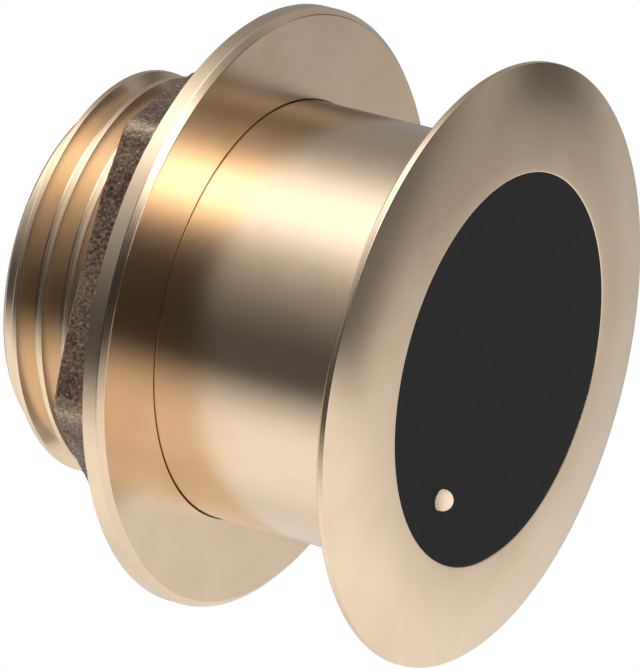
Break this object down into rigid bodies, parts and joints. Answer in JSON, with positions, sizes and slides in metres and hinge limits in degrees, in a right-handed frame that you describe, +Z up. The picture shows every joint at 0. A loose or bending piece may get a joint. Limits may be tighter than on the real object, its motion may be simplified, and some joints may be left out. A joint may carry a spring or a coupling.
{
  "type": "sonar transducer",
  "caption": "Bronze through-hull sonar transducer: domed flange with a flat black sounding face, smooth waist, coarse-threaded stem and a flanged hexagon hull nut.",
  "frame": {"origin": "on the stem's axis, level with the tip of the temperature stud, the lowest point of the sounding face", "axes": "+Z up along the stem, from the sounding face to the cable gland, as it hangs in a hull; -Y squarely through the hexagon flat that the picture shows; the temperature stud is at -X and -Y"},
  "size_m": [0.128, 0.128, 0.1116],
  "materials": {
    "turned_bronze": "turned and buffed",
    "cast_bronze": "turned rim, sand-cast hexagon",
    "black_urethane": "matt",
    "stud_bronze": "polished",
    "bead_epoxy": "gloss",
    "yellow_insulation": "satin",
    "red_insulation": "satin",
    "wedge_plastic": "satin",
    "matching_epoxy": "satin",
    "silvered_ceramic": "fired silver",
    "cork": "natural",
    "board_laminate": "lacquered",
    "chip_resin": "matt",
    "resistor_lacquer": "lacquered",
    "ferrite": "sintered",
    "bobbin_nylon": "satin",
    "copper_wire": "lacquered",
    "potting_resin": "satin",
    "gland_brass": "turned",
    "seal_rubber": "matt",
    "washer_steel": "bright"
  },
  "bodies": {
    "root": {"housing": "turned_bronze", "acoustic_window": "black_urethane", "temperature_stud": "stud_bronze", "sensor_bead": "bead_epoxy", "sensor_leads": "yellow_insulation", "tilt_wedge": "wedge_plastic", "matching_layer": "matching_epoxy", "ceramic_disc": "silvered_ceramic", "cork_backing": "cork", "cork_sleeve": "cork", "signal_leads": "red_insulation", "terminal_board": "board_laminate", "identity_chip": "chip_resin", "bleed_resistor": "resistor_lacquer", "core_lower": "ferrite", "core_upper": "ferrite", "bobbin": "bobbin_nylon", "winding": "copper_wire", "potting": "potting_resin", "gland_body": "gland_brass", "gland_seal": "seal_rubber", "gland_washer": "washer_steel", "gland_nut": "gland_brass", "hull_nut": "cast_bronze"}
  },
  "joints": []
}
